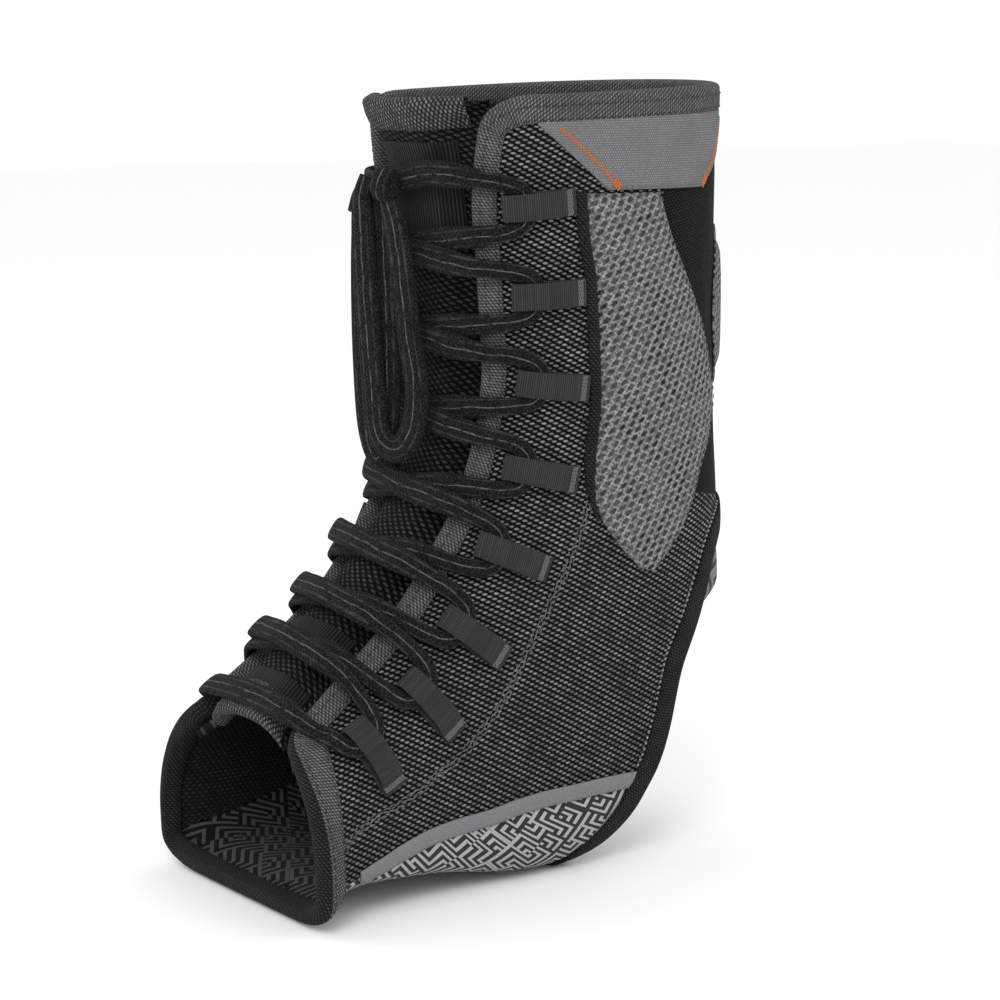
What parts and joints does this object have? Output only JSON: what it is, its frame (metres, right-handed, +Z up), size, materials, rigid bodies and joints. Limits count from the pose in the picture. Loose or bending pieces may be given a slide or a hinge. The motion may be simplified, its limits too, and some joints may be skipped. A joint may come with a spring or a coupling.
{
  "type": "lace-up ankle brace",
  "caption": "Lace-up fabric ankle brace with an open toe and heel, a padded tongue, webbing lace loops and soft side pads.",
  "frame": {"origin": "middle of the bounding box at its base, without the free laces", "axes": "+Z up the leg, toes to -Y, +X to the side that the picture shows"},
  "size_m": [0.0954, 0.1636, 0.2292],
  "materials": {
    "spacer_mesh": "coarse woven mesh",
    "binding_tape": "woven tape",
    "grey_elastic": "ribbed elastic",
    "grey_air_mesh": "air mesh",
    "webbing": "ribbed webbing",
    "ribbed_elastic": "ribbed elastic",
    "lace_cord": "flat braid",
    "printed_stretch": "printed knit"
  },
  "bodies": {
    "root": {"quarter_near": "spacer_mesh", "quarter_far": "spacer_mesh", "edge_binding_near": "binding_tape", "edge_binding_far": "binding_tape", "sole_tape_near": "grey_elastic", "sole_tape_far": "grey_elastic", "side_pad_near": "grey_air_mesh", "side_pad_far": "grey_air_mesh", "pad_tab_near": "grey_elastic", "pad_tab_far": "grey_elastic", "lace_loop_near_1": "webbing", "lace_loop_near_2": "webbing", "lace_loop_near_3": "webbing", "lace_loop_near_4": "webbing", "lace_loop_near_5": "webbing", "lace_loop_near_6": "webbing", "lace_loop_near_7": "webbing", "lace_loop_near_8": "webbing", "lace_loop_far_1": "webbing", "lace_loop_far_2": "webbing", "lace_loop_far_3": "webbing", "lace_loop_far_4": "webbing", "lace_loop_far_5": "webbing", "lace_loop_far_6": "webbing", "lace_loop_far_7": "webbing", "lace_loop_far_8": "webbing", "toe_binding": "binding_tape", "heel_binding": "binding_tape", "sole_panel": "printed_stretch", "achilles_pad": "grey_air_mesh", "back_seam_upper": "spacer_mesh", "back_seam_lower": "spacer_mesh", "heel_gusset": "printed_stretch", "tongue": "spacer_mesh", "tongue_binding": "binding_tape", "tongue_panel": "ribbed_elastic", "tongue_elastic_upper": "ribbed_elastic", "tongue_elastic_lower": "ribbed_elastic", "lace": "lace_cord", "lace_bow_front": "lace_cord", "lace_bow_rear": "lace_cord", "lace_end": "lace_cord", "lace_knot": "lace_cord"}
  },
  "joints": []
}
